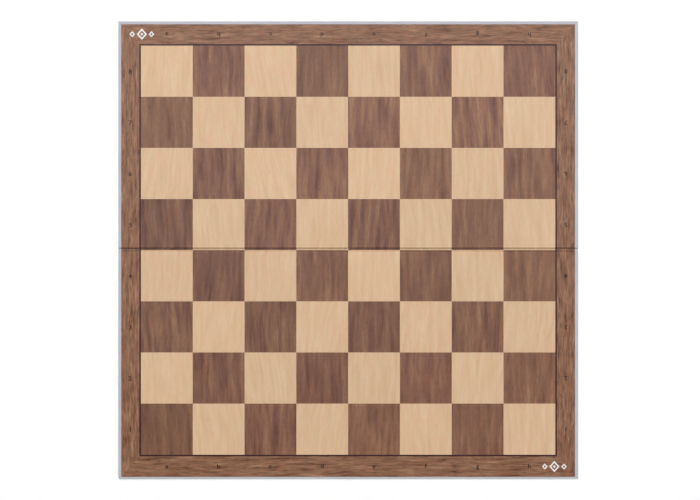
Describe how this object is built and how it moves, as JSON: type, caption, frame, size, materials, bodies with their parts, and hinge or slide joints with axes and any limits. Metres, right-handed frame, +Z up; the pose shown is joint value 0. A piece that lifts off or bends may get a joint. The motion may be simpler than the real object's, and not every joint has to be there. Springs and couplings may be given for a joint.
{
  "type": "folding chessboard",
  "caption": "Quad-fold cardboard chessboard with wood-look printed squares, mitred border, lettered edges and paper hinges that fold it to a quarter of its size.",
  "frame": {"origin": "centre of the underside of the board, lying flat and open", "axes": "+X from file a to file h, +Y from the near player (rank 1) to the far player (rank 8), +Z up out of the printed face"},
  "size_m": [0.488, 0.4854, 0.0021],
  "materials": {
    "greyboard": "unprinted solid grey board",
    "cover_paper": "light grey embossed cover paper",
    "light_print": "satin laminated print of maple",
    "dark_print": "satin laminated print of walnut",
    "border_print": "satin laminated print of walnut, along the edge",
    "line_print": "satin laminated dark brown print",
    "white_print": "satin laminated white print"
  },
  "bodies": {
    "near_left": {"near_left_board": "greyboard", "near_left_cover": "cover_paper", "near_left_light_squares": "light_print", "near_left_dark_squares": "dark_print", "near_left_side_border": "border_print", "near_left_end_border": "border_print", "near_left_field_line": "line_print"},
    "near_right": {"near_right_board": "greyboard", "near_right_cover": "cover_paper", "near_right_light_squares": "light_print", "near_right_dark_squares": "dark_print", "near_right_side_border": "border_print", "near_right_end_border": "border_print", "near_right_field_line": "line_print", "near_right_ornament": "white_print"},
    "far_left": {"far_left_board": "greyboard", "far_left_cover": "cover_paper", "far_left_light_squares": "light_print", "far_left_dark_squares": "dark_print", "far_left_side_border": "border_print", "far_left_end_border": "border_print", "far_left_field_line": "line_print", "far_left_ornament": "white_print"},
    "far_right": {"far_right_board": "greyboard", "far_right_cover": "cover_paper", "far_right_light_squares": "light_print", "far_right_dark_squares": "dark_print", "far_right_side_border": "border_print", "far_right_end_border": "border_print", "far_right_field_line": "line_print"},
    "left_fold": {"left_fold_cover": "cover_paper", "left_fold_light_squares": "light_print", "left_fold_dark_squares": "dark_print", "left_fold_border": "border_print", "left_fold_field_line": "line_print"},
    "right_fold": {"right_fold_cover": "cover_paper", "right_fold_light_squares": "light_print", "right_fold_dark_squares": "dark_print", "right_fold_border": "border_print", "right_fold_field_line": "line_print"},
    "centre_fold": {"centre_fold_cover": "cover_paper", "centre_fold_light_squares": "light_print", "centre_fold_dark_squares": "dark_print", "centre_fold_border": "border_print", "centre_fold_field_line": "line_print"}
  },
  "joints": [
    {"name": "centre_fold_left", "type": "hinge", "parent": "near_left", "child": "centre_fold", "pos_m": [-0.00185, -0.12, 0.00175], "axis": [0, 1, 0], "range_deg": [0, 90]},
    {"name": "centre_fold_right", "type": "hinge", "parent": "centre_fold", "child": "near_right", "pos_m": [0.00185, -0.12, 0.00175], "axis": [0, 1, 0], "range_deg": [0, 90]},
    {"name": "left_fold_near", "type": "hinge", "parent": "near_left", "child": "left_fold", "pos_m": [-0.12, -0.00185, 0.00035], "axis": [1, 0, 0], "range_deg": [0, 90]},
    {"name": "left_fold_far", "type": "hinge", "parent": "left_fold", "child": "far_left", "pos_m": [-0.12, 0.00185, 0.00035], "axis": [1, 0, 0], "range_deg": [0, 90]},
    {"name": "right_fold_near", "type": "hinge", "parent": "near_right", "child": "right_fold", "pos_m": [0.12, -0.00185, 0.00035], "axis": [1, 0, 0], "range_deg": [0, 90]},
    {"name": "right_fold_far", "type": "hinge", "parent": "right_fold", "child": "far_right", "pos_m": [0.12, 0.00185, 0.00035], "axis": [1, 0, 0], "range_deg": [0, 90]}
  ],
  "couplings": [
    {"joint": "centre_fold_left", "follows": "centre_fold_right", "ratio": 1},
    {"joint": "left_fold_near", "follows": "left_fold_far", "ratio": 1},
    {"joint": "right_fold_near", "follows": "right_fold_far", "ratio": 1}
  ]
}
